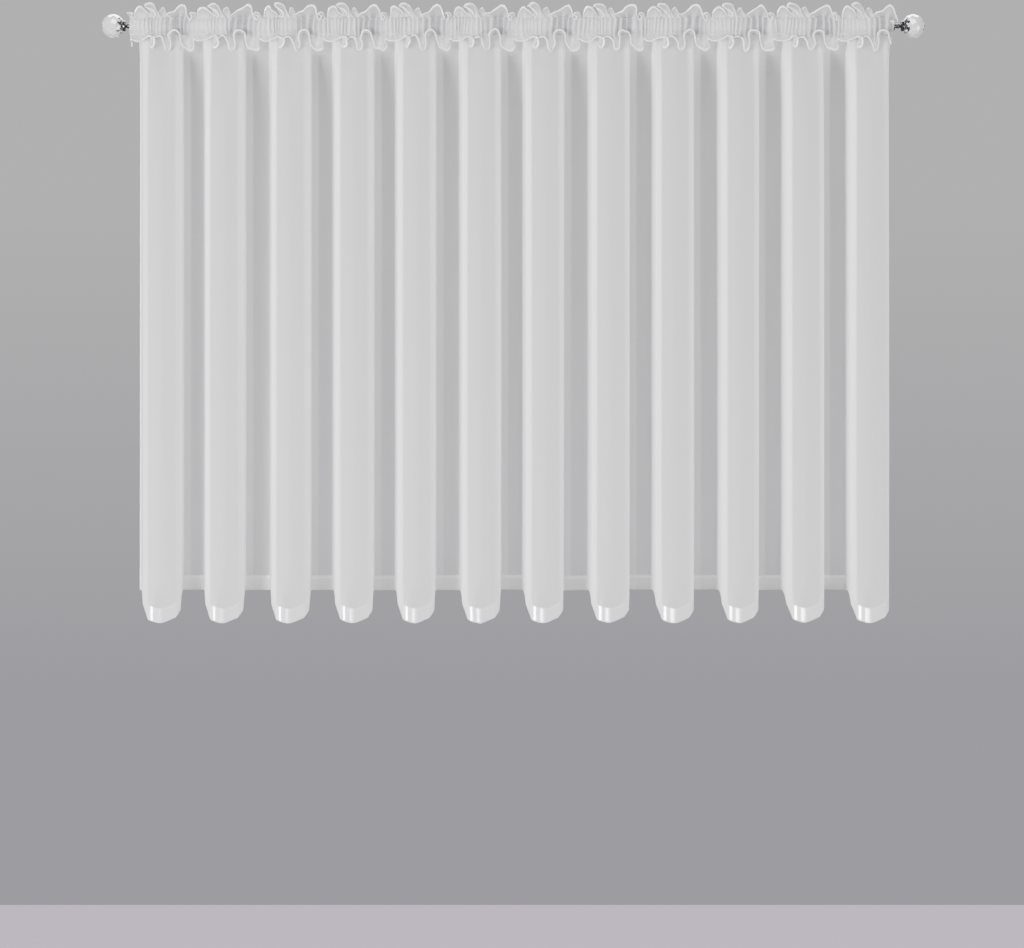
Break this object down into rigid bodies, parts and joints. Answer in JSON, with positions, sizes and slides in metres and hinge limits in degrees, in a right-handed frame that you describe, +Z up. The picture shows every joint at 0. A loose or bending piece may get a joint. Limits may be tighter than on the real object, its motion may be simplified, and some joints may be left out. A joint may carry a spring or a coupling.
{
  "type": "sheer curtain on rod",
  "caption": "Short sheer voile curtain with a gathered frill heading, hung in deep even folds on a straight round rod with turned necks and cut-glass ball finials.",
  "frame": {"origin": "on the rod's axis, at the middle of the rod's length, where its supports hold it", "axes": "+X along the rod to the right as seen from the room, +Y towards the window, +Z up"},
  "size_m": [1.9898, 0.112, 1.5001],
  "materials": {
    "voile": "sheer plain weave, slightly silky",
    "tape_cloth": "matt woven tape",
    "polished_steel": "polished",
    "cut_glass": "clear, cut in facets"
  },
  "bodies": {
    "root": {"voile_panel": "voile", "heading_frill": "voile", "gathering_tape": "tape_cloth", "rod": "polished_steel", "finial_neck_left": "polished_steel", "finial_neck_right": "polished_steel", "finial_ball_left": "cut_glass", "finial_ball_right": "cut_glass"}
  },
  "joints": []
}
